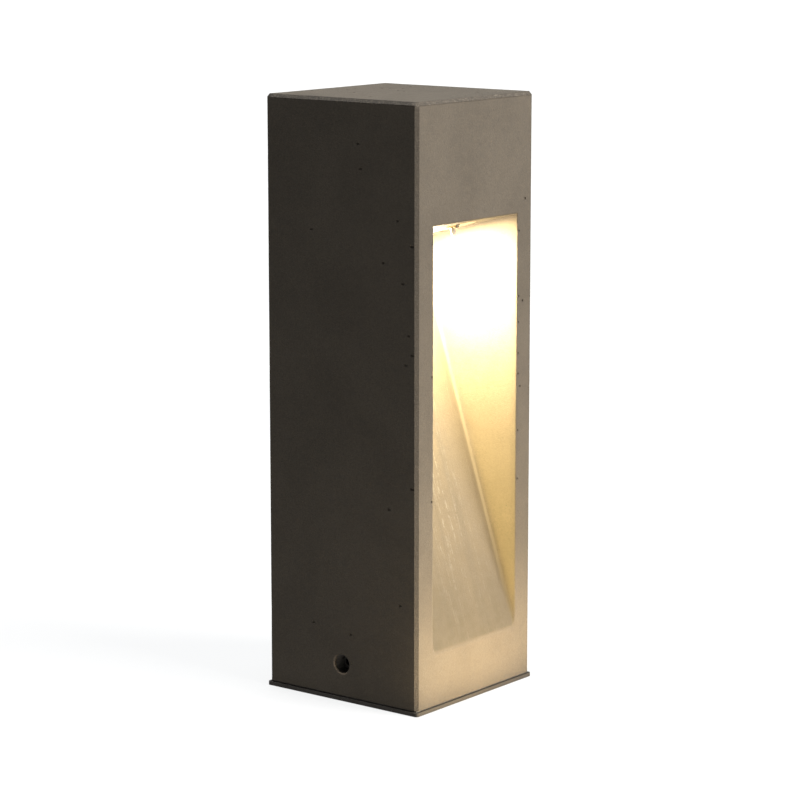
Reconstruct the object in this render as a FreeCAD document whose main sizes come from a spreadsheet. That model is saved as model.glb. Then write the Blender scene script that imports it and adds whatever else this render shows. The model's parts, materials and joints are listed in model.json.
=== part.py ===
import FreeCAD, Part
import math
import os
import re
import Sketcher
from FreeCAD import Vector

# A cast-stone path lantern: a square shaft with a slanted window niche, a lamp unit in the
# niche's tilted ceiling, a steel base with a bracket inside the hollow foot, and the gear on it.
# Millimetres, +Z up. The origin is the centre of the underside. The window faces -Y.

SIZES = {
    # stone shaft and its window niche
    "shaft_width": 126, "shaft_depth": 126, "total_height": 400, "arris": 2.2,
    "window_width": 91, "sill_height": 38, "head_height": 320,
    "niche_back_wall": 42.6, "ceiling_tilt": 15, "niche_fillet": 3,
    # rooms inside the stone
    "side_wall": 21, "front_wall": 21, "rear_wall": 15, "room_height": 60,
    "gear_room_width": 60, "gear_room_depth": 44, "gear_headroom": 15,
    # general fits: radial play of what passes through a hole, and the break of small edges
    "fit_gap": 0.1, "edge_break": 0.4,
    # base plate, gasket and cable grommet
    "plate_thickness": 2.5, "plate_proud": 1, "plate_corner": 2,
    "gasket_thickness": 1, "gasket_inset": 1, "gasket_width": 12,
    "anchor_spacing": 60, "anchor_hole": 6.5,
    "cable_bore": 10, "grommet_neck": 16, "grommet_flange": 21, "grommet_lip": 3,
    # mounting bracket
    "bracket_width": 40, "bracket_thickness": 2, "bracket_top": 45, "bracket_gap": 0.5,
    "bracket_eye": 24, "fold_radius": 1,
    # countersunk screws and nuts that hold the bracket and the gear tray to the plate
    "base_shank": 4, "base_head": 8, "base_sink": 2, "base_nut_flats": 7, "base_nut_length": 3.2,
    "bracket_screw_spread": 26, "tray_screw_spread": 12, "tray_screw_setback": 14,
    # side access holes with their screws, washers and weld nuts
    "access_diameter": 12.5, "access_height": 25, "access_depth": 15,
    "fixing_shank": 6, "fixing_head": 10, "fixing_head_length": 6,
    "washer_diameter": 12, "washer_thickness": 1.2, "weld_nut_flats": 10, "weld_nut_length": 5,
    # gear tray and what stands on it
    "tray_width": 40, "tray_thickness": 1.5, "tray_gap": 2, "tray_foot": 24, "tray_margin": 6,
    "driver_width": 36, "driver_depth": 24.5, "driver_bottom": 64, "driver_length": 72,
    "driver_wall": 1.6, "ear_width": 10, "ear_length": 8, "ear_offset": 12,
    "post_radius": 2.6, "post_inset": 3, "post_margin": 4,
    "board_width": 23, "board_thickness": 1.6, "board_margin": 3.5,
    "transformer_width": 18, "transformer_depth": 15, "transformer_length": 20,
    "transformer_rise": 20, "transformer_bevel": 2,
    "capacitor_diameter": 10, "capacitor_depth": 14, "capacitor_rise": 52,
    "small_shank": 3, "small_head": 5.2, "small_head_length": 1.6, "small_bite": 8,
    "block_width": 30, "block_depth": 16.5, "block_bottom": 26, "block_height": 16,
    "pole_pitch": 9, "pole_bore": 4, "pole_depth": 8, "clamp_diameter": 4.4, "clamp_length": 4,
    "clamp_recess": 6, "clamp_rise": 11.5, "block_screw_rise": 4,
    "earth_height": 50, "earth_offset": 10, "earth_shank": 4, "earth_head": 7,
    "earth_head_length": 2.2,
    # cable conduit cast into the stone, and the lamp's lead in it
    "conduit_diameter": 12, "conduit_wall": 1.5, "conduit_setback": 10, "conduit_bend": 28,
    "lead_diameter": 6, "lead_tail": 4, "lead_stub": 2.5,
    # lamp unit, whose own frame has its z along the lamp's axis into the stone
    "lamp_setback": 44, "glass_diameter": 44, "glass_thickness": 3, "glass_gap": 0.2,
    "mouth_wall": 2.3, "mouth_depth": 6, "pocket_gap": 0.5, "pocket_headroom": 4,
    "cup_wall": 2.5, "cup_depth": 34, "flange_margin": 4.5, "flange_thickness": 2,
    "seal_thickness": 1, "seal_width": 6,
    "led_board_gap": 0.5, "led_board_thickness": 1.6, "pad_inset": 0.5, "pad_thickness": 0.5,
    "emitter_diameter": 13, "emitter_height": 0.8, "reflector_throat": 14.6, "reflector_wall": 1,
    "led_screw_spread": 13, "led_screw_bite": 2, "led_screw_head_length": 2,
    "gland_height": 22, "gland_neck": 9, "gland_collar": 11, "gland_length": 4.2,
    "gland_room": 5, "plug_margin": 6.5, "plug_diameter": 6, "plug_length": 20,
    "flange_shank": 4, "flange_head": 7.6, "flange_sink": 1.8, "flange_screw_bite": 18,
    "flange_gap": 0.3,
    "clip_width": 4, "clip_thickness": 0.8, "clip_length": 10.5, "clip_grip": 2.5,
    "clip_tab_setback": 5, "clip_tab_drop": 8, "clip_screw_margin": 6,
    "clip_shank": 2.5, "clip_head": 3.8, "clip_head_length": 1.3,
}

doc = FreeCAD.newDocument("stone_lantern")
sheet = doc.addObject("Spreadsheet::Sheet", "sizes")
for row, (size_name, size) in enumerate(SIZES.items(), start=1):
    sheet.set(f"A{row}", size_name)
    sheet.set(f"B{row}", str(size))
    sheet.setAlias(f"B{row}", size_name)
doc.recompute()

NODES = []

# directions in which a part's own z can point
UP = "vector(0; 0; 1); 0"
RIGHT = "vector(0; 1; 0); 90"
LEFT = "vector(0; 1; 0); -90"
BACK = "vector(1; 0; 0); -90"
FRONT = "vector(1; 0; 0); 90"
DOWN = "vector(1; 0; 0); 180"
SIDES = (("left", -1, LEFT), ("right", 1, RIGHT))

# places that several pieces share, as formulas on the sheet's names
FOOT = "(plate_thickness + gasket_thickness)"
ROOM_SIDE = "(shaft_width / 2 - side_wall)"
ROOM_FRONT = "(front_wall - shaft_depth / 2)"
ROOM_BACK = "(shaft_depth / 2 - rear_wall)"
NICHE_RUN = "(shaft_depth - niche_back_wall)"
ACCESS_FLOOR = "(shaft_width / 2 - access_depth)"
BRACKET_SIDE = f"({ROOM_SIDE} - bracket_gap)"
TRAY_BACK = f"({ROOM_BACK} - tray_gap)"
TRAY_FACE = f"({TRAY_BACK} - tray_thickness)"
DRIVER_FRONT = f"({TRAY_FACE} - driver_depth)"
DRIVER_TOP = "(driver_bottom + driver_length)"
TRAY_TOP = f"({DRIVER_TOP} + ear_length + tray_margin)"
GEAR_ROOM_TOP = f"({TRAY_TOP} + gear_headroom)"
BOARD_FACE = f"({TRAY_FACE} - driver_wall - board_thickness)"
BLOCK_FRONT = f"({TRAY_FACE} - block_depth)"
CONDUIT_Y = f"({ROOM_BACK} - conduit_setback)"
LAMP_Y = "(lamp_setback - shaft_depth / 2 + flange_thickness * sin(ceiling_tilt))"
LAMP_Z = ("(head_height - lamp_setback * tan(ceiling_tilt)"
          " + flange_thickness * cos(ceiling_tilt))")
GLASS_BACK = "(glass_thickness - flange_thickness)"
SHOULDER = f"({GLASS_BACK} + seal_thickness)"
CUP_ROOF = "(cup_depth - cup_wall)"
MOUTH = "(glass_diameter / 2 + glass_gap + mouth_wall)"
POCKET = f"({MOUTH} + pocket_gap)"
PLUG_CIRCLE = f"({POCKET} + plug_margin)"
FLANGE = f"({PLUG_CIRCLE} + flange_margin)"
CUP = f"({POCKET} - gland_room)"
CUP_BORE = f"({CUP} - cup_wall)"
LED_BOARD = f"({CUP_BORE} - led_board_gap)"
CLIP_SCREW = "(glass_diameter / 2 + clip_screw_margin)"
LED_BACK = f"({CUP_ROOF} - pad_thickness)"
LED_FACE = f"({LED_BACK} - led_board_thickness)"
CLIP_FACE = "(-flange_thickness - clip_thickness)"


def formula(text):
    """The text with each size's name pointed at its cell."""
    return re.sub(r"[a-z]\w*", lambda word: f"sizes.{word[0]}" if word[0] in SIZES else word[0], text)


def number(text):
    """The present value of a formula."""
    return float(sheet.evalExpression(formula(text)))


def node(piece):
    """Marks a finished piece, whose name is its file's name."""
    NODES.append(piece)
    return piece


def put(piece, x="0", y="0", z="0", turn=UP, frame=None):
    """Binds a piece's place and direction, in the lantern's frame or in a named one."""
    place = formula(f"placement(vector({x}; {y}; {z}); rotation({turn}))")
    piece.setExpression("Placement", f"{frame}.Placement * {place}" if frame else place)
    return piece


def block(name, x, y, z):
    """A box between a low and a high formula along each axis."""
    box = doc.addObject("Part::Box", name)
    for side, (low, high) in zip(("Length", "Width", "Height"), (x, y, z)):
        box.setExpression(side, formula(f"({high}) - ({low})"))
    return put(box, x[0], y[0], z[0])


def across(width):
    """The two ends of a width that is centred on zero."""
    return f"-({width}) / 2", f"({width}) / 2"


def rod(name, radius, length, x="0", y="0", z="0", turn=UP, frame=None):
    """A cylinder that starts at a point and runs along the turned z."""
    cylinder = doc.addObject("Part::Cylinder", name)
    cylinder.setExpression("Radius", formula(radius))
    cylinder.setExpression("Height", formula(length))
    return put(cylinder, x, y, z, turn, frame)


def hexagon(name, flats, length, z="0"):
    """A hexagonal prism of a given width across its flats."""
    prism = doc.addObject("Part::Prism", name)
    prism.Polygon = 6
    prism.setExpression("Circumradius", formula(f"({flats}) / 2 / cos(30)"))
    prism.setExpression("Height", formula(length))
    return put(prism, z=z)


def joined(name, pieces):
    """One solid of several that touch."""
    fusion = doc.addObject("Part::MultiFuse", name)
    fusion.Shapes = pieces
    return fusion


def cut(name, base, tools):
    """The base less every tool."""
    result = doc.addObject("Part::Cut", name)
    result.Base = base
    result.Tool = joined(f"{name}_tools", tools) if len(tools) > 1 else tools[0]
    return result


def outline(body, name, plane, corners):
    """A closed polygon on one of the body's planes, each corner held by two formulas."""
    sketch = body.newObject("Sketcher::SketchObject", name)
    origin = body.Origin.OriginFeatures
    sketch.AttachmentSupport = [(next(item for item in origin if item.Role == plane), "")]
    sketch.MapMode = "FlatFace"
    ends = [Vector(number(first), number(second), 0) for first, second in corners]
    count = len(ends)
    for side in range(count):
        sketch.addGeometry(Part.LineSegment(ends[side], ends[(side + 1) % count]))
    for side in range(count):
        sketch.addConstraint(Sketcher.Constraint("Coincident", side, 2, (side + 1) % count, 1))
    for side, corner in enumerate(corners):
        for kind, text in zip(("DistanceX", "DistanceY"), corner):
            rule = Sketcher.Constraint(kind, -1, 1, side, 1, number(text))
            held = sketch.addConstraint(rule)
            sketch.setExpression(f"Constraints[{held}]", formula(text))
    return sketch


def turned(name, corners):
    """A body turned about its own z from an outline of radii and heights."""
    body = doc.addObject("PartDesign::Body", name)
    sketch = outline(body, f"{name}_outline", "XZ_Plane", corners)
    turning = body.newObject("PartDesign::Revolution", f"{name}_turning")
    turning.Profile = sketch
    turning.ReferenceAxis = (sketch, ["V_Axis"])
    turning.Angle = 360
    return body


def ring(name, inner, outer, low, high):
    """A flat ring or washer between two heights."""
    return turned(name, [(inner, low), (outer, low), (outer, high), (inner, high)])


def extruded(name, plane, corners, length, middle):
    """A body padded from an outline, to both sides of its plane or upwards from it."""
    body = doc.addObject("PartDesign::Body", name)
    sketch = outline(body, f"{name}_outline", plane, corners)
    pad = body.newObject("PartDesign::Pad", f"{name}_pad")
    pad.Profile = sketch
    pad.Midplane = middle
    pad.setExpression("Length", formula(length))
    doc.recompute()
    return body


def edge_names(shape, wanted):
    """The names of the edges whose middle passes a test."""
    return [f"Edge{place}" for place, edge in enumerate(shape.Edges, start=1)
            if wanted(edge.valueAt((edge.FirstParameter + edge.LastParameter) / 2))]


def dress(body, kind, wanted, size_field, size_text):
    """A fillet or chamfer of the body's present shape, on the edges that pass a test."""
    base = body.Tip
    feature = body.newObject(f"PartDesign::{kind}", f"{body.Name}_{kind.lower()}")
    feature.Base = (base, edge_names(base.Shape, wanted))
    feature.setExpression(size_field, formula(size_text))
    doc.recompute()
    return feature


def near(a, b):
    """True when two lengths are the same."""
    return abs(a - b) < 1e-4


def pan_screw(name, shank, head, head_length, length, x, y, z, turn, frame=None):
    """A screw whose head stands on a face at its own zero, with a hexagon socket."""
    radius = f"{shank} / 2"
    body = turned(f"{name}_blank", [
        ("0", f"-({length})"), (f"{radius} - edge_break", f"-({length})"),
        (radius, f"edge_break - ({length})"), (radius, "0"), (f"{head} / 2", "0"),
        (f"{head} / 2", f"{head_length} - edge_break"),
        (f"{head} / 2 - edge_break", head_length), ("0", head_length)])
    socket = hexagon(f"{name}_socket", f"{head} / 2", head_length, f"{head_length} / 2")
    return node(put(cut(name, body, [socket]), x, y, z, turn, frame))


def flush_screw(name, kind, length, x, y, z="0", frame=None):
    """A countersunk screw from below, its head flush with the sheet that it holds."""
    body = turned(f"{name}_blank", [
        ("0", "0"), (f"{kind}_head / 2", "0"), (f"{kind}_shank / 2", f"{kind}_sink"),
        (f"{kind}_shank / 2", f"{length} - edge_break"),
        (f"{kind}_shank / 2 - edge_break", length), ("0", length)])
    socket = hexagon(f"{name}_socket", f"{kind}_shank / 2", f"{kind}_sink * 0.8")
    return node(put(cut(name, body, [socket]), x, y, z, frame=frame))


def screw_sink(name, kind, sheet_thickness, x, y, z="0"):
    """The countersunk hole of a flush screw, through a sheet."""
    hole = f"{kind}_shank / 2 + fit_gap"
    return put(turned(f"{name}_sink", [
        ("0", "0"), (f"{kind}_head / 2", "0"),
        (hole, f"{kind}_sink * (1 - 2 * fit_gap / ({kind}_head - {kind}_shank))"),
        (hole, sheet_thickness), ("0", sheet_thickness)]), x, y, z)


def nut(name, flats, length, shank, x, y, z, turn=UP):
    """A hexagon nut with a plain bore."""
    blank = hexagon(f"{name}_blank", flats, length)
    bore = rod(f"{name}_bore", f"{shank} / 2 + fit_gap", length)
    return node(put(cut(name, blank, [bore]), x, y, z, turn))


def cable_path(start_z, reach):
    """Up the back of the stone, round one bend, and towards the lamp's axis up to a distance."""
    tilt = math.radians(number("ceiling_tilt"))
    away = Vector(0, math.cos(tilt), -math.sin(tilt))
    inward = Vector(0, math.sin(tilt), math.cos(tilt))
    inlet = Vector(0, number(LAMP_Y), number(LAMP_Z)) + inward * number("gland_height")
    corner = inlet + away * ((number(CONDUIT_Y) - inlet.y) / away.y)
    radius = number("conduit_bend")
    tangent = radius * math.tan((math.pi / 2 - tilt) / 2)
    bend_start = corner - Vector(0, 0, tangent)
    bend_end = corner - away * tangent
    centre = bend_start - Vector(0, radius, 0)
    bend_middle = centre + (corner - centre).normalize() * radius
    return Part.Wire([
        Part.LineSegment(Vector(0, corner.y, start_z), bend_start).toShape(),
        Part.Arc(bend_start, bend_middle, bend_end).toShape(),
        Part.LineSegment(bend_end, inlet + away * reach).toShape()])


def swept(path, radius):
    """A round solid along a path that starts upwards."""
    section = Part.Wire(Part.makeCircle(radius, path.Edges[0].valueAt(0), Vector(0, 0, 1)))
    return path.makePipeShell([section], True, True)


def feature(name, shape):
    """A piece whose shape is made by the code above from the sheet's values."""
    piece = doc.addObject("Part::Feature", name)
    piece.Shape = shape
    return piece


def stone():
    """The cast shaft: arrises, slanted niche, rooms, conduit channel, lamp pocket and bores."""
    half_width, half_depth = number("shaft_width / 2"), number("shaft_depth / 2")
    top = number("total_height")
    wide, deep = across("shaft_width"), across("shaft_depth")
    corners = [(wide[0], deep[0]), (wide[1], deep[0]), (wide[1], deep[1]), (wide[0], deep[1])]
    body = extruded("stone_shaft", "XY_Plane", corners, f"total_height - {FOOT}", False)
    plan = body.Group[0]
    plan.setExpression(".AttachmentOffset.Base.z", formula(FOOT))
    doc.recompute()

    def outer_edge(point):
        """The four upright edges and the four at the top."""
        on_side = near(abs(point.x), half_width) and near(abs(point.y), half_depth)
        return on_side or near(point.z, top)

    dress(body, "Chamfer", outer_edge, "Size", "arris")

    front = "-shaft_depth / 2"
    niche = outline(body, "niche_outline", "YZ_Plane", [
        (front, "sill_height"),
        (f"{front} + {NICHE_RUN}", f"head_height - {NICHE_RUN} * tan(ceiling_tilt)"),
        (front, "head_height"),
        (f"{front} - arris", "head_height"),
        (f"{front} - arris", "sill_height")])
    pocket = body.newObject("PartDesign::Pocket", "niche")
    pocket.Profile = niche
    pocket.Midplane = True
    pocket.setExpression("Length", formula("window_width"))
    doc.recompute()

    wall = number("window_width / 2")
    niche_top = number(f"head_height - {NICHE_RUN} * tan(ceiling_tilt)")

    def niche_corner(point):
        """The two edges where the leaning back of the niche meets its side walls."""
        return near(abs(point.x), wall) and point.y > 1 - half_depth and point.z < niche_top

    dress(body, "Fillet", niche_corner, "Radius", "niche_fillet")

    room_x, gear_x = across(f"{ROOM_SIDE} * 2"), across("gear_room_width")
    below = f"{FOOT} - 1"
    tools = [
        block("base_room", room_x, (ROOM_FRONT, ROOM_BACK), (below, "room_height")),
        block("gear_room", gear_x, (f"{ROOM_BACK} - gear_room_depth", ROOM_BACK),
              (below, GEAR_ROOM_TOP)),
        feature("conduit_channel", swept(cable_path(number(f"{GEAR_ROOM_TOP} - 1"),
                                                    number(f"{POCKET} - 1")),
                                         number("conduit_diameter / 2"))),
        rod("lamp_pocket", POCKET, "cup_depth + pocket_headroom + 1", z="-1", frame="lamp_frame"),
        rod("flange_seat", f"{FLANGE} + flange_gap", "flange_thickness + 1",
            z="-flange_thickness - 1", frame="lamp_frame")]
    for place in range(4):
        turn = f"{place} * 90 + 45"
        tools.append(rod(f"plug_hole_{place + 1}", "plug_diameter / 2 + fit_gap", "plug_length + 2",
                         f"{PLUG_CIRCLE} * cos({turn})", f"{PLUG_CIRCLE} * sin({turn})", "-1",
                         frame="lamp_frame"))
    for side, sign, turn in SIDES:
        tools.append(rod(f"access_bore_{side}", "access_diameter / 2", "access_depth + 1",
                         f"{sign} * {ACCESS_FLOOR}", "0", "access_height", turn))
        tools.append(rod(f"fixing_bore_{side}", "fixing_shank / 2 + fit_gap * 3", "side_wall",
                         f"{sign} * ({ROOM_SIDE} - 1)", "0", "access_height", turn))
    node(cut("stone_body", body, tools))


def base():
    """Plate, gasket and grommet."""
    wide, deep = across("shaft_width + 2 * plate_proud"), across("shaft_depth + 2 * plate_proud")
    corners = [(wide[0], deep[0]), (wide[1], deep[0]), (wide[1], deep[1]), (wide[0], deep[1])]
    body = extruded("plate_blank", "XY_Plane", corners, "plate_thickness", False)
    middle_height = number("plate_thickness / 2")
    dress(body, "Fillet", lambda point: near(point.z, middle_height), "Radius", "plate_corner")
    holes = [rod("plate_cable_hole", "grommet_neck / 2 + fit_gap", "plate_thickness")]
    for x_sign in (-1, 1):
        for y_sign in (-1, 1):
            holes.append(rod(f"anchor_hole_{len(holes)}", "anchor_hole / 2", "plate_thickness",
                             f"{x_sign} * anchor_spacing / 2", f"{y_sign} * anchor_spacing / 2"))
    for name, x, y in screw_places():
        holes.append(screw_sink(name, "base", "plate_thickness", x, y))
    node(cut("base_plate", body, holes))

    outer_x = across("shaft_width - 2 * gasket_inset")
    outer_y = across("shaft_depth - 2 * gasket_inset")
    inner_x = across("shaft_width - 2 * gasket_inset - 2 * gasket_width")
    inner_y = across("shaft_depth - 2 * gasket_inset - 2 * gasket_width")
    height = ("plate_thickness", FOOT)
    sheet_blank = block("gasket_blank", outer_x, outer_y, height)
    node(cut("base_gasket", sheet_blank, [block("gasket_opening", inner_x, inner_y, height)]))

    lip_top = "plate_thickness + grommet_lip"
    node(turned("cable_grommet", [
        ("cable_bore / 2", "0"), ("grommet_neck / 2", "0"), ("grommet_neck / 2", "plate_thickness"),
        ("grommet_flange / 2", "plate_thickness"),
        ("grommet_flange / 2", f"{lip_top} - edge_break"),
        ("grommet_flange / 2 - edge_break", lip_top), ("cable_bore / 2", lip_top)]))


def screw_places():
    """The name and place of each countersunk screw in the plate."""
    tray_y = f"{ROOM_BACK} - tray_screw_setback"
    return [("bracket_screw_left", "-bracket_screw_spread", "0"),
            ("bracket_screw_right", "bracket_screw_spread", "0"),
            ("tray_screw_left", "-tray_screw_spread", tray_y),
            ("tray_screw_right", "tray_screw_spread", tray_y)]


def base_fastening():
    """The countersunk screws and the nuts that clamp each sheet to the plate."""
    for name, x, y in screw_places():
        sheet_thickness = "bracket_thickness" if name.startswith("bracket") else "tray_thickness"
        seat = f"plate_thickness + {sheet_thickness}"
        flush_screw(name, "base", f"{seat} + base_nut_length + 1", x, y)
        nut(name.replace("screw", "nut"), "base_nut_flats", "base_nut_length", "base_shank",
            x, y, seat)


def bracket():
    """The U bracket whose uprights stand against the walls of the base room."""
    side, wall, low, high = BRACKET_SIDE, "bracket_thickness", "plate_thickness", "bracket_top"
    body = extruded("bracket_blank", "XZ_Plane", [
        (f"-{side}", low), (side, low), (side, high), (f"{side} - {wall}", high),
        (f"{side} - {wall}", f"{low} + {wall}"), (f"-{side} + {wall}", f"{low} + {wall}"),
        (f"-{side} + {wall}", high), (f"-{side}", high)], "bracket_width", True)
    outside, inside = number(side), number(f"{side} - {wall}")
    under, over = number(low), number(f"{low} + {wall}")
    dress(body, "Fillet", lambda point: near(abs(point.x), inside) and near(point.z, over),
          "Radius", "fold_radius")
    dress(body, "Fillet", lambda point: near(abs(point.x), outside) and near(point.z, under),
          "Radius", "fold_radius + bracket_thickness")
    holes = [rod("bracket_eye_hole", "bracket_eye / 2", wall, z=low)]
    for name, x, y in screw_places()[:2]:
        holes.append(rod(f"{name}_hole", "base_shank / 2 + fit_gap", wall, x, y, low))
    for name, sign, turn in SIDES:
        holes.append(rod(f"bracket_bore_{name}", "fixing_shank / 2 + fit_gap", wall,
                         f"{sign} * ({side} - {wall})", "0", "access_height", turn))
    node(cut("mounting_bracket", body, holes))


def side_fixings():
    """Per side: a socket screw in the access hole, its washer, and the nut welded inside."""
    nut_face = f"({BRACKET_SIDE} - bracket_thickness - weld_nut_length)"
    for side, sign, turn in SIDES:
        washer = ring(f"fixing_washer_{side}", "fixing_shank / 2 + fit_gap",
                      "washer_diameter / 2", "0", "washer_thickness")
        node(put(washer, f"{sign} * {ACCESS_FLOOR}", "0", "access_height", turn))
        seat = f"({ACCESS_FLOOR} + washer_thickness)"
        pan_screw(f"fixing_screw_{side}", "fixing_shank", "fixing_head", "fixing_head_length",
                  f"{seat} - {nut_face} + 1", f"{sign} * {seat}", "0", "access_height", turn)
        nut(f"weld_nut_{side}", "weld_nut_flats", "weld_nut_length", "fixing_shank",
            f"{sign} * {nut_face}", "0", "access_height", turn)


def gear_tray():
    """A folded sheet that stands on the plate and carries the terminal block and the driver."""
    low, wall = "plate_thickness", "tray_thickness"
    body = extruded("tray_blank", "YZ_Plane", [
        (f"{TRAY_BACK} - tray_foot", low), (TRAY_BACK, low), (TRAY_BACK, TRAY_TOP),
        (TRAY_FACE, TRAY_TOP), (TRAY_FACE, f"{low} + {wall}"),
        (f"{TRAY_BACK} - tray_foot", f"{low} + {wall}")], "tray_width", True)
    back, face = number(TRAY_BACK), number(TRAY_FACE)
    under, over = number(low), number(f"{low} + {wall}")
    dress(body, "Fillet", lambda point: near(point.y, face) and near(point.z, over),
          "Radius", "fold_radius")
    dress(body, "Fillet", lambda point: near(point.y, back) and near(point.z, under),
          "Radius", "fold_radius + tray_thickness")
    holes = [rod(f"{name}_hole", "base_shank / 2 + fit_gap", wall, x, y, low)
             for name, x, y in screw_places()[2:]]
    for name, shank, x, z in tray_fasteners():
        holes.append(rod(f"{name}_hole", f"{shank} / 2 + fit_gap", wall, x, TRAY_FACE, z, BACK))
    node(cut("gear_tray", body, holes))


def tray_fasteners():
    """The name, shank and place of each screw that goes through the upright of the tray."""
    return [("case_screw_upper", "small_shank", "ear_offset", f"{DRIVER_TOP} + ear_length / 2"),
            ("case_screw_lower", "small_shank", "-ear_offset", "driver_bottom - ear_length / 2"),
            ("block_screw", "small_shank", "pole_pitch / 2", "block_bottom + block_screw_rise"),
            ("earth_screw", "earth_shank", "earth_offset", "earth_height")]


def tray_fastening():
    """Two screws in the ears of the driver, one in the terminal block and the earth screw."""
    grip = "tray_thickness + edge_break"
    seats = {"case_screw_upper": "driver_wall", "case_screw_lower": "driver_wall",
             "block_screw": "block_depth", "earth_screw": "0"}
    for name, shank, x, z in tray_fasteners():
        head = shank.replace("shank", "head")
        pan_screw(name, shank, head, f"{head}_length", f"{seats[name]} + {grip}",
                  x, f"{TRAY_FACE} - {seats[name]}", z, FRONT)


def lid_screw_places():
    """The two opposite corners in which the lid of the driver is screwed."""
    side = "(driver_width / 2 - post_inset)"
    return [("lid_screw_lower", side, "driver_bottom + post_margin"),
            ("lid_screw_upper", f"-{side}", f"{DRIVER_TOP} - post_margin")]


def driver():
    """The closed power supply: case with ears and posts, lid, board and its large parts."""
    outside = across("driver_width")
    inside = across("driver_width - 2 * driver_wall")
    ear_y = (f"{TRAY_FACE} - driver_wall", TRAY_FACE)
    walls = [block("case_block", outside, (DRIVER_FRONT, TRAY_FACE), ("driver_bottom", DRIVER_TOP)),
             block("case_ear_upper", ("ear_offset - ear_width / 2", "ear_offset + ear_width / 2"),
                   ear_y, (f"{DRIVER_TOP} - 1", f"{DRIVER_TOP} + ear_length")),
             block("case_ear_lower", ("-ear_offset - ear_width / 2", "ear_width / 2 - ear_offset"),
                   ear_y, ("driver_bottom - ear_length", "driver_bottom + 1"))]
    room = block("case_room", inside, (f"{DRIVER_FRONT} - 1", f"{TRAY_FACE} - driver_wall"),
                 ("driver_bottom + driver_wall", f"{DRIVER_TOP} - driver_wall"))
    shell = cut("case_shell", joined("case_walls", walls), [room])
    posts, post_bores, lid_bores = [], [], []
    for name, x, z in lid_screw_places():
        posts.append(rod(f"{name}_post", "post_radius", "driver_depth - driver_wall / 2",
                         x, DRIVER_FRONT, z, BACK))
        post_bores.append(rod(f"{name}_post_bore", "small_shank / 2 + fit_gap", "small_bite + 1",
                              x, DRIVER_FRONT, z, BACK))
        lid_bores.append(rod(f"{name}_lid_bore", "small_shank / 2 + fit_gap", "driver_wall",
                             x, f"{DRIVER_FRONT} - driver_wall", z, BACK))
        pan_screw(name, "small_shank", "small_head", "small_head_length",
                  "driver_wall + small_bite", x, f"{DRIVER_FRONT} - driver_wall", z, FRONT)
    lead_hole = rod("case_lead_hole", "lead_diameter / 2 + fit_gap", "driver_wall",
                    "0", CONDUIT_Y, f"{DRIVER_TOP} - driver_wall")
    ear_bores = [rod(f"{name}_ear_bore", f"{shank} / 2 + fit_gap", "driver_wall",
                     x, f"{TRAY_FACE} - driver_wall", z, BACK)
                 for name, shank, x, z in tray_fasteners()[:2]]
    node(cut("driver_case", joined("case_with_posts", [shell] + posts),
             post_bores + ear_bores + [lead_hole]))
    lid = block("lid_blank", outside, (f"{DRIVER_FRONT} - driver_wall", DRIVER_FRONT),
                ("driver_bottom", DRIVER_TOP))
    node(cut("driver_lid", lid, lid_bores))
    node(block("driver_board", across("board_width"),
               (BOARD_FACE, f"{BOARD_FACE} + board_thickness"),
               ("driver_bottom + board_margin", f"{DRIVER_TOP} - board_margin")))
    core = block("transformer_core", across("transformer_width"),
                 (f"{BOARD_FACE} - transformer_depth", BOARD_FACE),
                 ("driver_bottom + transformer_rise",
                  "driver_bottom + transformer_rise + transformer_length"))
    doc.recompute()
    core_front = number(f"{BOARD_FACE} - transformer_depth")
    bevel = doc.addObject("Part::Chamfer", "transformer")
    bevel.Base = core
    size = number("transformer_bevel")
    bevel.Edges = [(place, size, size) for place, edge in enumerate(core.Shape.Edges, start=1)
                   if near(edge.CenterOfMass.y, core_front)]
    node(bevel)
    node(rod("capacitor", "capacitor_diameter / 2", "capacitor_depth", "0", BOARD_FACE,
             "driver_bottom + capacitor_rise", FRONT))


def terminals():
    """The block where the supply cable ends, with a clamping screw for each pole."""
    blank = block("block_blank", across("block_width"), (BLOCK_FRONT, TRAY_FACE),
                  ("block_bottom", "block_bottom + block_height"))
    holes = [rod("block_screw_bore", "small_shank / 2 + fit_gap", "block_depth",
                 "pole_pitch / 2", BLOCK_FRONT, "block_bottom + block_screw_rise", BACK)]
    for pole in range(3):
        x = f"({pole} - 1) * pole_pitch"
        z = "block_bottom + clamp_rise"
        holes.append(rod(f"wire_hole_{pole + 1}", "pole_bore / 2", "pole_depth",
                         x, f"{TRAY_FACE} - block_depth / 2", "block_bottom"))
        holes.append(rod(f"clamp_hole_{pole + 1}", "clamp_diameter / 2 + fit_gap", "clamp_recess",
                         x, BLOCK_FRONT, z, BACK))
        screw = turned(f"clamp_screw_{pole + 1}_blank", [
            ("0", "0"), ("clamp_diameter / 2", "0"),
            ("clamp_diameter / 2", "clamp_length - edge_break"),
            ("clamp_diameter / 2 - edge_break", "clamp_length"), ("0", "clamp_length")])
        slot = block(f"clamp_slot_{pole + 1}", across("clamp_diameter"), across("edge_break * 2"),
                     ("clamp_length - 1", "clamp_length"))
        node(put(cut(f"clamp_screw_{pole + 1}", screw, [slot]),
                 x, f"{BLOCK_FRONT} + clamp_recess", z, FRONT))
    node(cut("terminal_block", blank, holes))


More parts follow.
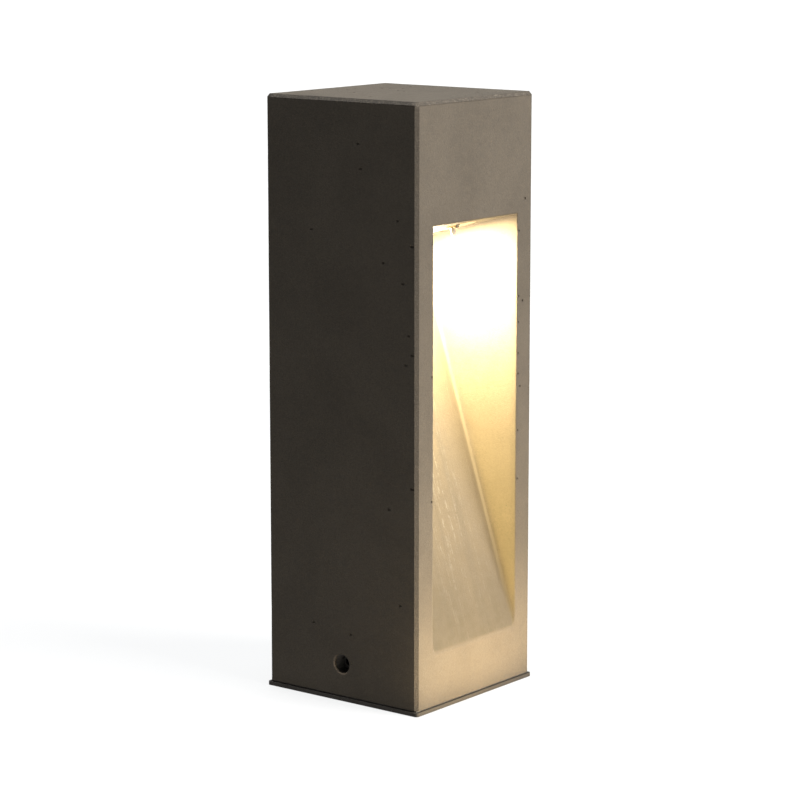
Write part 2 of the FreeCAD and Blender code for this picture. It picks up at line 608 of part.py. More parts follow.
def cable():
    """The conduit cast into the stone and the lead from the driver to the lamp."""
    outer = number("conduit_diameter / 2")
    run = cable_path(number(GEAR_ROOM_TOP), number(f"{POCKET} + fit_gap * 4"))
    tube = swept(run, outer).cut(swept(run, outer - number("conduit_wall")))
    node(feature("cable_conduit", tube))
    route = cable_path(number(f"{DRIVER_TOP} - lead_tail"), number(f"{CUP_BORE} - lead_stub"))
    lead = swept(route, number("lead_diameter / 2"))
    node(feature("lamp_lead", lead))
    section = math.pi * number("lead_diameter / 2") ** 2
    print(f"lead bend radius {number('conduit_bend')}, volume {lead.Volume:.1f},"
          f" section times length {section * route.Length:.1f}")


def lamp_shell():
    """The cup with its sunk flange, its gland, and the four plugs and screws that hold it."""
    glass_bore = "glass_diameter / 2 + glass_gap"
    body = turned("cup_blank", [
        (glass_bore, "-flange_thickness"), (FLANGE, "-flange_thickness"), (FLANGE, "0"),
        (MOUTH, "0"), (MOUTH, "mouth_depth"), (CUP, "mouth_depth"), (CUP, "cup_depth"),
        ("0", "cup_depth"), ("0", CUP_ROOF), (CUP_BORE, CUP_ROOF), (CUP_BORE, SHOULDER),
        (glass_bore, SHOULDER)])
    holes = [rod("gland_hole", "gland_neck / 2 + fit_gap", CUP, z="gland_height", turn=BACK)]
    for sign in (-1, 1):
        holes.append(rod(f"led_screw_bore_{len(holes)}", "small_shank / 2 + fit_gap",
                         "led_screw_bite", f"{sign} * led_screw_spread", "0", CUP_ROOF))
        holes.append(rod(f"clip_screw_bore_{len(holes)}", "clip_shank / 2 + fit_gap",
                         "flange_thickness", "0", f"{sign} * {CLIP_SCREW}", "-flange_thickness"))
    for place in range(4):
        x, y = (f"{PLUG_CIRCLE} * {wave}({place} * 90 + 45)" for wave in ("cos", "sin"))
        name = f"flange_screw_{place + 1}"
        holes.append(screw_sink(name, "flange", "flange_thickness", x, y, "-flange_thickness"))
        plug = ring(f"wall_plug_{place + 1}", "flange_shank / 2 + fit_gap", "plug_diameter / 2",
                    "0", "plug_length")
        node(put(plug, x, y, frame="lamp_frame"))
        flush_screw(name, "flange", "flange_thickness + flange_screw_bite",
                    x, y, "-flange_thickness", "lamp_frame")
    node(put(cut("lamp_housing", body, holes), frame="lamp_frame"))
    gland = turned("lamp_gland", [
        ("lead_diameter / 2", "-cup_wall - 1"), ("gland_neck / 2", "-cup_wall - 1"),
        ("gland_neck / 2", "0"), ("gland_collar / 2", "0"),
        ("gland_collar / 2", "gland_length - edge_break"),
        ("gland_collar / 2 - edge_break", "gland_length"),
        ("lead_diameter / 2", "gland_length")])
    node(put(gland, "0", CUP, "gland_height", BACK, "lamp_frame"))


def lamp_optics():
    """Emitter on its board and thermal pad, reflector, seal and cover glass, held by two clips."""
    pad = ring("pad_blank", "0", f"{LED_BOARD} - pad_inset", LED_BACK, CUP_ROOF)
    board = ring("led_board_blank", "0", LED_BOARD, LED_FACE, LED_BACK)
    pad_holes, board_holes = [], []
    for side, sign, _ in SIDES:
        x = f"{sign} * led_screw_spread"
        pad_holes.append(rod(f"pad_hole_{side}", "small_shank / 2 + fit_gap", "pad_thickness",
                             x, "0", LED_BACK))
        board_holes.append(rod(f"led_board_hole_{side}", "small_shank / 2 + fit_gap",
                               "led_board_thickness", x, "0", LED_FACE))
        pan_screw(f"led_screw_{side}", "small_shank", "small_head", "led_screw_head_length",
                  "led_board_thickness + pad_thickness + led_screw_bite - edge_break / 2",
                  x, "0", LED_FACE, DOWN, "lamp_frame")
    node(put(cut("thermal_pad", pad, pad_holes), frame="lamp_frame"))
    node(put(cut("led_board", board, board_holes), frame="lamp_frame"))
    node(put(ring("led_emitter", "0", "emitter_diameter / 2", f"{LED_FACE} - emitter_height",
                  LED_FACE), frame="lamp_frame"))
    rim, throat = f"({CUP_BORE} - glass_gap)", "(reflector_throat / 2)"
    upper = f"{LED_FACE} - glass_gap"
    node(put(turned("reflector", [
        (f"{rim} - reflector_wall", SHOULDER), (rim, SHOULDER),
        (f"{throat} + reflector_wall", upper), (throat, upper)]), frame="lamp_frame"))
    node(put(ring("glass_seal", "glass_diameter / 2 - seal_width", "glass_diameter / 2",
                  GLASS_BACK, SHOULDER), frame="lamp_frame"))
    edge = "glass_diameter / 2"
    node(put(turned("cover_glass", [
        ("0", "-flange_thickness"), (f"{edge} - edge_break", "-flange_thickness"),
        (edge, "edge_break - flange_thickness"), (edge, f"{GLASS_BACK} - edge_break"),
        (f"{edge} - edge_break", GLASS_BACK), ("0", GLASS_BACK)]), frame="lamp_frame"))
    for name, turn in (("front", 0), ("rear", 180)):
        toe = "(glass_diameter / 2 - clip_grip)"
        tab = f"({toe} + clip_tab_setback)"
        strip = block(f"clip_strip_{name}", across("clip_width"),
                      (f"-{toe} - clip_length", f"-{toe}"), (CLIP_FACE, "-flange_thickness"))
        finger = block(f"clip_finger_{name}", across("clip_width"),
                       (f"-{tab} - clip_thickness", f"-{tab}"),
                       ("-clip_tab_drop", "-flange_thickness"))
        hole = rod(f"clip_hole_{name}", "clip_shank / 2 + fit_gap", "clip_thickness",
                   "0", f"-{CLIP_SCREW}", CLIP_FACE)
        clip = cut(f"lens_clip_{name}", joined(f"clip_blank_{name}", [strip, finger]), [hole])
        node(put(clip, turn=f"vector(0; 0; 1); {turn}", frame="lamp_frame"))
        pan_screw(f"clip_screw_{name}", "clip_shank", "clip_head", "clip_head_length",
                  "clip_thickness + flange_thickness - edge_break / 2", "0",
                  f"{-1 if turn == 0 else 1} * {CLIP_SCREW}", CLIP_FACE, DOWN, "lamp_frame")


def write_parts():
    """Stops on any failed object or shape, then writes every node."""
    doc.recompute()
    for thing in doc.Objects:
        if "Invalid" in thing.State or "Error" in thing.State:
            raise RuntimeError(f"{thing.Label} did not compute: {thing.State}")
    for piece in NODES:
        if piece.Shape.isNull() or not piece.Shape.isValid() or len(piece.Shape.Solids) != 1:
            raise RuntimeError(f"{piece.Label} is not one valid solid")
    os.makedirs("parts", exist_ok=True)
    for piece in NODES:
        piece.Shape.exportStep(f"parts/{piece.Label}.step")
    print(len(NODES), "nodes written")


lamp_frame = doc.addObject("Part::LocalCoordinateSystem", "lamp_frame")
put(lamp_frame, "0", LAMP_Y, LAMP_Z, "vector(1; 0; 0); -ceiling_tilt")
doc.recompute()

stone()
base()
base_fastening()
bracket()
side_fixings()
gear_tray()
tray_fastening()
driver()
terminals()
cable()
lamp_shell()
lamp_optics()
write_parts()
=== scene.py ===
import json
import math
import random

import bmesh
import bpy
from mathutils import Matrix, Vector, kdtree, noise


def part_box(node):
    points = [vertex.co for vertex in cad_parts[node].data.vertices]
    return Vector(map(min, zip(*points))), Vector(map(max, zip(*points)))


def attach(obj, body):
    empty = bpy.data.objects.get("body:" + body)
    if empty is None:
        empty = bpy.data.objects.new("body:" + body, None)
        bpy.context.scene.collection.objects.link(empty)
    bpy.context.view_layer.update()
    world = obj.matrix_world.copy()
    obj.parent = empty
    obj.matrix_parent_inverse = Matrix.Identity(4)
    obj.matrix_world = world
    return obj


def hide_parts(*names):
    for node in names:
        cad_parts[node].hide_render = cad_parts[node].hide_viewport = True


# A cast-stone path lantern, lit, on a pale floor. Metres, +Z up, the window faces -Y.

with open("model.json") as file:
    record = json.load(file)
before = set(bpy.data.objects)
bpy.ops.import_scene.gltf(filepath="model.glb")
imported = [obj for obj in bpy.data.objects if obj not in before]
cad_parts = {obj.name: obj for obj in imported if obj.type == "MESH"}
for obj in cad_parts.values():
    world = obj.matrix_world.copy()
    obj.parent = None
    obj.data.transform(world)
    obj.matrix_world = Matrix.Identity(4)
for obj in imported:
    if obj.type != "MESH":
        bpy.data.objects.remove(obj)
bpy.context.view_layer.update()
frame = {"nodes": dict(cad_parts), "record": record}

MM = 0.001
STONE_LOW, STONE_HIGH = (Vector(corner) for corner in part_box("stone_body"))
HALF = STONE_HIGH.x
TOP = STONE_HIGH.z
FOOT = STONE_LOW.z
ARRIS = 2.2 * MM

# the window niche: its opening, and the line where its ceiling meets its leaning back
WINDOW = 45.5 * MM
SILL = 38 * MM
HEAD = 320 * MM
TILT = math.radians(15)
BACK_Y = HALF - 42.6 * MM
BACK_Z = HEAD - (BACK_Y + HALF) * math.tan(TILT)
LEAN = math.atan2(BACK_Y + HALF, BACK_Z - SILL)

# the rooms inside the stone
BASE_ROOM = (-42 * MM, 42 * MM, -42 * MM, 48 * MM, 60 * MM)
GEAR_ROOM = (-30 * MM, 30 * MM, 4 * MM, 48 * MM, 165 * MM)

# the lamp's place on the tilted ceiling: its z runs along the lamp's axis into the stone
LAMP_SETBACK = 44 * MM
CEILING = (Matrix.Translation((0, LAMP_SETBACK - HALF, HEAD - LAMP_SETBACK * math.tan(TILT)))
           @ Matrix.Rotation(-TILT, 4, "X"))
FLANGE_THICKNESS = 2 * MM
SEAT_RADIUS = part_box("lamp_housing")[1][0] + 0.3 * MM
POCKET_RADIUS = 25 * MM
POCKET_DEPTH = 40 * MM

ACCESS_RADIUS = 6.25 * MM
ACCESS_HEIGHT = 25 * MM
ACCESS_DEPTH = 15 * MM

# how fine the stone's mesh is: its net of cuts, and the cuts in each side of a bore's ring
EDGE_BAND = 3.4 * MM
NET_ACROSS = 2.3 * MM
NET_UPWARDS = 1.75 * MM
RING_CUTS = 15

# smaller roundings, and the modelled air holes
CORNER_FILLET = 3.0 * MM
WINDOW_EDGE = 0.9 * MM
PIT_MARGIN = 0.55 * MM
PIT_DEPTH = 0.7 * MM
PIT_REACH = 2.5 * MM


# ---------------------------------------------------------------- shader maths

class Wire:
    """A node's output, or a sum of outputs, written as plain Python."""

    def __init__(self, finish, socket):
        self.finish = finish
        self.socket = socket

    def __add__(self, other):
        return self.finish.maths("ADD", self, other)

    __radd__ = __add__

    def __sub__(self, other):
        return self.finish.maths("SUBTRACT", self, other)

    def __rsub__(self, other):
        return self.finish.maths("SUBTRACT", other, self)

    def __mul__(self, other):
        return self.finish.maths("MULTIPLY", self, other)

    __rmul__ = __mul__

    def __truediv__(self, other):
        return self.finish.maths("DIVIDE", self, other)

    def __pow__(self, other):
        return self.finish.maths("POWER", self, other)


class Finish:
    """A material made of one Principled shader and the nodes that vary it."""

    def __init__(self, name, **constants):
        self.material = bpy.data.materials.new(name)
        self.material.use_nodes = True
        self.tree = self.material.node_tree
        self.tree.nodes.clear()
        self.shader = self.tree.nodes.new("ShaderNodeBsdfPrincipled")
        output = self.tree.nodes.new("ShaderNodeOutputMaterial")
        self.tree.links.new(self.shader.outputs[0], output.inputs["Surface"])
        self.set(**constants)
        self.place = self.add("ShaderNodeTexCoord", out="Object")

    def set(self, **values):
        """Sets or links the shader's sockets, named with underscores for spaces."""
        for name, value in values.items():
            self.feed(self.shader.inputs[name.replace("_", " ")], value)

    def feed(self, socket, value):
        """Gives a socket a link, a number or a colour."""
        if isinstance(value, Wire):
            self.tree.links.new(value.socket, socket)
        elif socket.type == "RGBA" and len(value) == 3:
            socket.default_value = (*value, 1)
        else:
            socket.default_value = value

    def add(self, kind, inputs=None, out=0, **settings):
        """One node: its settings first, then what its sockets hold, and the output wanted."""
        node = self.tree.nodes.new(kind)
        for name, value in settings.items():
            if name == "stops":
                self.stops(node.color_ramp, value)
            else:
                setattr(node, name, value)
        for name, value in (inputs or {}).items():
            self.feed(node.inputs[name], value)
        return Wire(self, node.outputs[out])

    def stops(self, ramp, values):
        """Fills a ramp with (place, colour) pairs."""
        for place, (position, colour) in enumerate(values):
            stop = ramp.elements[place] if place < 2 else ramp.elements.new(position)
            stop.position = position
            stop.color = (*colour, 1)

    def maths(self, operation, *values):
        """A Math node on wires and numbers."""
        return self.add("ShaderNodeMath", dict(enumerate(values)), operation=operation)

    def ramp(self, value, low, high, start=0.0, end=1.0):
        """Rises smoothly from start to end while the value goes from low to high."""
        return self.add("ShaderNodeMapRange", {"Value": value, "From Min": low, "From Max": high,
                                               "To Min": start, "To Max": end},
                        interpolation_type="SMOOTHSTEP")

    def mix(self, factor, first, second):
        """A colour between two."""
        return self.add("ShaderNodeMix", {0: factor, 6: first, 7: second}, out=2,
                        data_type="RGBA")

    def noise(self, size, detail=3.0, roughness=0.55, at=None, distortion=0.0):
        """Noise whose patches are about a size in metres."""
        return self.add("ShaderNodeTexNoise", {
            "Vector": at or self.place, "Scale": 1 / size, "Detail": detail,
            "Roughness": roughness, "Distortion": distortion})

    def cells(self, size, feature="F1", out="Distance"):
        """The distance, colour or place of scattered points about a size apart."""
        return self.add("ShaderNodeTexVoronoi", {"Vector": self.place, "Scale": 1 / size},
                        out=out, feature=feature)

    def stretched(self, scale, turn=(0, 0, 0)):
        """Object coordinates turned and then stretched, for streaks."""
        turned = self.add("ShaderNodeMapping", {"Vector": self.place, "Rotation": turn})
        return self.add("ShaderNodeMapping", {"Vector": turned, "Scale": scale})

    def axes(self):
        """The three object coordinates as separate numbers."""
        return [self.add("ShaderNodeSeparateXYZ", {"Vector": self.place}, out=axis)
                for axis in "XYZ"]

    def bump(self, height, depth, strength=1.0):
        """Links a height map, whose full range is a depth in metres."""
        self.set(Normal=self.add("ShaderNodeBump", {
            "Height": height, "Distance": depth, "Strength": strength}))


def plain_stone(stone, clouds, mottle, grain, grit):
    """The colour of a plain face: soft clouds, mottling, single grains and grit."""
    face = stone.mix(stone.ramp(clouds, 0.32, 0.68), (0.0285, 0.0228, 0.0164),
                     (0.0352, 0.0284, 0.0207))
    face = stone.mix(stone.ramp(mottle, 0.45, 0.72) * 0.45, face, (0.0440, 0.0362, 0.0272))
    face = stone.mix(stone.ramp(mottle, 0.46, 0.30) * 0.40, face, (0.0215, 0.0170, 0.0120))
    face = stone.mix(stone.ramp(grain, 0.46, 0.32) * 0.45, face, (0.0150, 0.0120, 0.0088))
    face = stone.mix(stone.ramp(grain, 0.60, 0.74) * 0.50, face, (0.0640, 0.0540, 0.0420))
    face = stone.mix(stone.ramp(grit, 0.52, 0.36) * 0.30, face, (0.0185, 0.0148, 0.0105))
    return stone.mix(stone.ramp(grit, 0.56, 0.70) * 0.22, face, (0.0520, 0.0430, 0.0325))


def sandy_arrises_and_pit_shade(stone, face, tone, place):
    """Sand laid bare on the arrises: dark and brown grains, a few pale ones, partly painted shade of the
    sandy pits, deepest on the rim of the top.
    """
    x, y, z = place
    far_x, far_y = stone.maths("ABSOLUTE", x), stone.maths("ABSOLUTE", y)
    widest = stone.maths("MAXIMUM", far_x, far_y)
    upright = stone.ramp(far_x + far_y, 2 * HALF - ARRIS - 1.0 * MM, 2 * HALF - ARRIS)
    rim = stone.ramp(z + widest, TOP + HALF - ARRIS - 1.4 * MM, TOP + HALF - ARRIS)
    arris = stone.maths("MAXIMUM", upright, rim)
    ragged = stone.ramp(arris + stone.noise(1.4 * MM, 3.0) * 0.9, 0.75, 1.25)
    # painted shade: the grains are mostly darker than the faces to stand for shade in the sandy pits, and
    # the top rim takes more of it
    grains = stone.add("ShaderNodeValToRGB", {"Fac": tone}, stops=[
        (0.0, (0.0090, 0.0070, 0.0050)), (0.40, (0.0170, 0.0130, 0.0090)),
        (0.82, (0.0255, 0.0200, 0.0142)), (0.98, (0.0480, 0.0400, 0.0300))])
    return stone.mix(ragged * (0.30 + rim * 0.50), face, grains), ragged


def niche_masks(stone, place):
    """Where the niche is, and where its leaning back is."""
    x, y, z = place
    far_x = stone.maths("ABSOLUTE", x)
    inside = (stone.ramp(far_x, WINDOW, WINDOW - 0.5 * MM) * stone.ramp(y, -HALF, 1 * MM - HALF)
              * stone.ramp(y, BACK_Y + 3 * MM, BACK_Y + 2 * MM))
    return inside, inside * stone.ramp(z, BACK_Z, BACK_Z - 6 * MM)


def trowelled_back(stone, face, streaks, along, on_back, place):
    """The leaning back is paler and warmer, with broken pale streaks and dark smears."""
    x, _, z = place
    far_x = stone.maths("ABSOLUTE", x)
    face = stone.mix(on_back * 0.40, face, (0.0440, 0.0345, 0.0212))
    wisps = stone.noise(1.0 * MM, 3.0, 0.60, at=along)
    middle = stone.ramp(far_x, 32 * MM, 8 * MM) * stone.ramp(z, 270 * MM, 130 * MM)
    broken = stone.ramp(stone.noise(5 * MM, 4.0, 0.7), 0.40, 0.60)
    laid = stone.ramp(streaks * 0.35 + wisps * 0.80, 0.60, 0.72) * on_back * broken
    face = stone.mix(laid * (0.10 + middle * 0.62), face, (0.0600, 0.0530, 0.0420))
    smear = stone.ramp(stone.noise(15 * MM, 4.0, 0.6, at=along), 0.47, 0.62) * on_back * middle
    return stone.mix(smear * 0.42, face, (0.0200, 0.0172, 0.0132)), laid


def painted_corner_highlight(stone, face, inside, place):
    """A painted highlight: a pale line along each corner of the leaning back, where the lamp's light
    catches the rounded corner.
    """
    x, y, z = place
    far_x = stone.maths("ABSOLUTE", x)
    gap = (z - SILL) * math.sin(LEAN) - (y + HALF) * math.cos(LEAN)
    highlight_line = (stone.ramp(gap, 1.8 * MM, 1.0 * MM) * stone.ramp(gap, -1 * MM, 0.1 * MM)
            * stone.ramp(far_x, WINDOW - 2.2 * MM, WINDOW - 1.4 * MM) * inside)
    # painted highlight along the corner, stronger lower down
    return stone.mix(highlight_line * stone.ramp(z, 260 * MM, 120 * MM, 0.08, 0.32), face,
                     (0.0700, 0.0600, 0.0430))


def pin_holes(stone, on_back):
    """Small round pits in every face but the leaning back."""
    spots = stone.cells(13 * MM)
    size = stone.add("ShaderNodeSeparateColor", {"Color": stone.cells(13 * MM, out="Color")},
                     out=1)
    return stone.ramp(spots * 13 - size * 0.35, 0.16, 0.04) * (1 - on_back)


def bore_dust_and_lip_highlight(stone, face, grit, place):
    """Stone dust inside the side bores, and a painted highlight on the low rear lip of their mouths,
    where the front light catches it, speckled like worn chips.
    """
    x, y, z = place
    far_x = stone.maths("ABSOLUTE", x)
    around = stone.maths("SQRT", y * y + (z - ACCESS_HEIGHT) ** 2)
    dust = (stone.ramp(around, ACCESS_RADIUS + 0.5 * MM, ACCESS_RADIUS + 0.2 * MM)
            * stone.ramp(far_x, HALF - 1.4 * MM, HALF - 2.6 * MM))
    face = stone.mix(dust * 0.9, face, (0.0750, 0.0680, 0.0600))
    # painted highlight: the low rear lip of each mouth made pale where the front light catches it,
    # speckled like worn chips
    lip = (stone.ramp(around, ACCESS_RADIUS + 1.3 * MM, ACCESS_RADIUS + 0.5 * MM)
           * stone.ramp(far_x, HALF - 2.2 * MM, HALF - 1.4 * MM)
           * stone.ramp(z - ACCESS_HEIGHT - y, 4 * MM, -5 * MM))
    return stone.mix(lip * stone.ramp(grit, 0.35, 0.55) * 0.8, face, (0.1050, 0.0800, 0.0570))


def cast_stone():
    """Fine brown-grey cast stone: mottled faces, sandy arrises, air pits, trowel streaks, with painted
    shade in the pits, on the arrises and low on the leaning back, and painted highlights along the back's
    corners and on the bores' low lips.
    """
    stone = Finish("cast_stone", IOR=1.45, Specular_IOR_Level=0.22)
    place = stone.axes()
    clouds = stone.noise(70 * MM, 4.0, 0.6, distortion=0.6)
    mottle = stone.noise(7 * MM, 6.0, 0.62)
    grain = stone.noise(0.55 * MM, 3.0, 0.65)
    grit = stone.noise(1.25 * MM, 4.0, 0.7)
    tone = stone.add("ShaderNodeSeparateColor", {"Color": stone.cells(0.75 * MM, out="Color")})
    face = plain_stone(stone, clouds, mottle, grain, grit)
    face, ragged = sandy_arrises_and_pit_shade(stone, face, tone, place)

    inside, on_back = niche_masks(stone, place)
    along = stone.stretched((1, 1, 0.032), (LEAN, 0, 0))
    streaks = stone.noise(5 * MM, 4.0, 0.60, at=along, distortion=0.4)
    face, laid = trowelled_back(stone, face, streaks, along, on_back, place)
    face = painted_corner_highlight(stone, face, inside, place)
    # painted shade: the lower part of the leaning back darkened, as the lamp's light falls off towards
    # the sill
    low_back_shade = stone.ramp(place[2] + clouds * 40 * MM, 130 * MM, 60 * MM) * on_back
    face = stone.mix(low_back_shade * 0.80, face, (0.0178, 0.0142, 0.0089))

    pits = pin_holes(stone, on_back)
    # painted shade: the pin holes are darkened where shade falls in them
    face = stone.mix(pits * 0.8, face, (0.0075, 0.0060, 0.0045))
    face = bore_dust_and_lip_highlight(stone, face, grit, place)
    stone.set(Base_Color=face,
              Roughness=stone.ramp(mottle, 0.3, 0.8, 0.74, 0.92) - laid * 0.10)
    height = (grain * 0.16 + mottle * 0.14 + ragged * tone * 0.45 + streaks * on_back * 0.06
              - pits * 0.8)
    stone.bump(height + grit * 0.22, 0.7 * MM, 0.85)
    return stone.material


def painted_steel(name, colour, bare):
    """Powder-coated sheet: orange-peel skin, dust in the hollows, rubbed edges."""
    coat = Finish(name, IOR=1.5, Specular_IOR_Level=0.25)
    peel = coat.noise(0.8 * MM, 2.0, 0.5)
    dust = coat.noise(11 * MM, 5.0, 0.65)
    scuffs = coat.noise(3 * MM, 4.0, 0.7, at=coat.stretched((0.25, 1, 1)))
    shade = coat.mix(coat.ramp(dust, 0.42, 0.7) * 0.5, colour, tuple(1.5 * c for c in colour))
    shade = coat.mix(coat.ramp(scuffs, 0.66, 0.78) * 0.6, shade, bare)
    coat.set(Base_Color=shade, Roughness=coat.ramp(dust, 0.3, 0.7, 0.55, 0.78))
    coat.bump(peel + scuffs * 0.4, 0.05 * MM, 0.5)
    return coat.material


def plated_steel(name, colour, rough=0.34, spangle=5.0):
    """Zinc-plated or galvanised steel: crystals that catch the light differently."""
    metal = Finish(name, Metallic=1.0)
    crystals = metal.cells(spangle * MM, out="Color")
    tone = metal.add("ShaderNodeSeparateColor", {"Color": crystals}, out=0)
    stain = metal.noise(7 * MM, 4.0, 0.6)
    shade = metal.mix(tone * 0.55, tuple(0.78 * c for c in colour), colour)
    shade = metal.mix(metal.ramp(stain, 0.55, 0.75) * 0.4, shade, (0.36, 0.34, 0.30))
    metal.set(Base_Color=shade, Roughness=tone * 0.14 + metal.ramp(stain, 0.3, 0.8, rough, rough + 0.2))
    metal.bump(metal.noise(0.4 * MM, 2.0) + tone * 0.3, 0.03 * MM, 0.4)
    return metal.material


def turned_metal(name, colour, rough=0.28):
    """Screws and clips: fine tool lines and small knocks."""
    metal = Finish(name, Metallic=1.0)
    lines = metal.noise(0.25 * MM, 2.0, 0.5, at=metal.stretched((1, 1, 6)))
    knocks = metal.noise(1.5 * MM, 3.0, 0.6)
    metal.set(Base_Color=metal.mix(metal.ramp(knocks, 0.4, 0.7) * 0.5, colour,
                                   tuple(0.6 * c for c in colour)),
              Roughness=metal.ramp(lines, 0.3, 0.7, rough, rough + 0.18))
    metal.bump(lines + knocks * 0.5, 0.02 * MM, 0.5)
    return metal.material


def moulded(name, colour, rough=0.5, texture=0.5):
    """Moulded plastic: a spark-eroded skin, faint flow marks and a little dust."""
    plastic = Finish(name, IOR=1.46)
    skin = plastic.noise(texture * MM, 2.0, 0.5)
    flow = plastic.noise(12 * MM, 3.0, 0.5, distortion=1.2)
    dust = plastic.noise(2.5 * MM, 5.0, 0.7)
    shade = plastic.mix(plastic.ramp(flow, 0.3, 0.7) * 0.4, colour, tuple(0.82 * c for c in colour))
    shade = plastic.mix(plastic.ramp(dust, 0.55, 0.8) * 0.18, shade, (0.45, 0.42, 0.38))
    plastic.set(Base_Color=shade, Roughness=plastic.ramp(dust, 0.3, 0.7, rough, rough + 0.15))
    plastic.bump(skin, 0.04 * MM, 0.4)
    return plastic.material


def rubber(name, colour, rough=0.72):
    """Matt rubber with bloom and fine lines from the mould."""
    skin = Finish(name, IOR=1.5, Specular_IOR_Level=0.3)
    bloom = skin.noise(6 * MM, 5.0, 0.65)
    lines = skin.noise(0.6 * MM, 2.0, 0.5, at=skin.stretched((1, 1, 0.2)))
    skin.set(Base_Color=skin.mix(skin.ramp(bloom, 0.45, 0.75) * 0.5, colour,
                                 tuple(c + 0.05 for c in colour)),
             Roughness=skin.ramp(bloom, 0.3, 0.7, rough, rough + 0.15))
    skin.bump(lines + bloom * 0.4, 0.06 * MM, 0.5)
    return skin.material


def circuit_board(name, colour, track):
    """Lacquered laminate with a maze of tracks and small solder points."""
    board = Finish(name, IOR=1.5, Coat_Weight=0.3, Coat_Roughness=0.15)
    maze = board.cells(3 * MM, feature="DISTANCE_TO_EDGE")
    tracks = board.ramp(maze, 0.10, 0.06)
    solder = board.ramp(board.cells(3 * MM), 0.22, 0.16)
    weave = board.noise(0.5 * MM, 2.0)
    shade = board.mix(tracks * 0.6, colour, track)
    shade = board.mix(solder, shade, (0.62, 0.62, 0.60))
    board.set(Base_Color=board.mix(board.ramp(weave, 0.3, 0.7) * 0.15, shade, (0.2, 0.2, 0.15)),
              Metallic=solder * 0.9, Roughness=board.ramp(weave, 0.3, 0.7, 0.3, 0.42))
    board.bump(tracks * 0.4 + solder, 0.08 * MM, 0.5)
    return board.material


def wound_tape(name, colour):
    """Tape wound round a core, with its overlapping turns."""
    tape = Finish(name, IOR=1.5)
    _, _, z = tape.axes()
    turns = tape.maths("PINGPONG", z, 1.6 * MM) / (1.6 * MM)
    gloss = tape.noise(4 * MM, 3.0)
    tape.set(Base_Color=tape.mix(tape.ramp(turns, 0.12, 0.0) * 0.7, colour, (0.20, 0.13, 0.04)),
             Roughness=tape.ramp(gloss, 0.3, 0.7, 0.22, 0.40))
    tape.bump(turns + gloss * 0.3, 0.12 * MM, 0.6)
    return tape.material


def bright_reflector(name):
    """Vapour-plated reflector with a faint ripple."""
    mirror = Finish(name, Metallic=1.0)
    ripple = mirror.noise(3 * MM, 2.0)
    mirror.set(Base_Color=mirror.mix(mirror.ramp(ripple, 0.3, 0.7), (0.86, 0.85, 0.83),
                                     (0.78, 0.77, 0.74)),
               Roughness=mirror.ramp(ripple, 0.3, 0.7, 0.10, 0.22))
    mirror.bump(ripple, 0.05 * MM, 0.4)
    return mirror.material


def clear_glass(name):
    """Toughened cover glass with a film of dust."""
    glass = Finish(name, IOR=1.5, Specular_IOR_Level=0.5)
    film = glass.noise(8 * MM, 4.0, 0.6)
    glass.set(Base_Color=glass.mix(film, (0.92, 0.95, 0.93), (0.85, 0.86, 0.82)),
              Alpha=glass.ramp(film, 0.35, 0.75, 0.10, 0.24),
              Roughness=glass.ramp(film, 0.3, 0.7, 0.04, 0.14))
    return glass.material


def lit_emitter(name):
    """The lamp's yellow phosphor, alight: a field of small chips."""
    lamp = Finish(name, Roughness=0.4, Emission_Strength=60.0)
    chips = lamp.cells(1.6 * MM)
    glow = lamp.ramp(chips, 0.7, 0.1, 0.65, 1.0)
    lamp.set(Base_Color=lamp.mix(glow, (0.8, 0.55, 0.10), (0.95, 0.80, 0.30)),
             Emission_Color=lamp.mix(glow, (1.0, 0.62, 0.20), (1.0, 0.86, 0.50)))
    lamp.bump(chips, 0.1 * MM, 0.5)
    return lamp.material


def silicone(name):
    """Milky sealing ring."""
    seal = Finish(name, IOR=1.41, Subsurface_Weight=0.2)
    cloud = seal.noise(3 * MM, 3.0)
    seal.set(Base_Color=seal.mix(cloud, (0.74, 0.73, 0.70), (0.62, 0.60, 0.55)),
             Roughness=seal.ramp(cloud, 0.3, 0.7, 0.4, 0.6))
    seal.bump(cloud, 0.05 * MM, 0.4)
    return seal.material


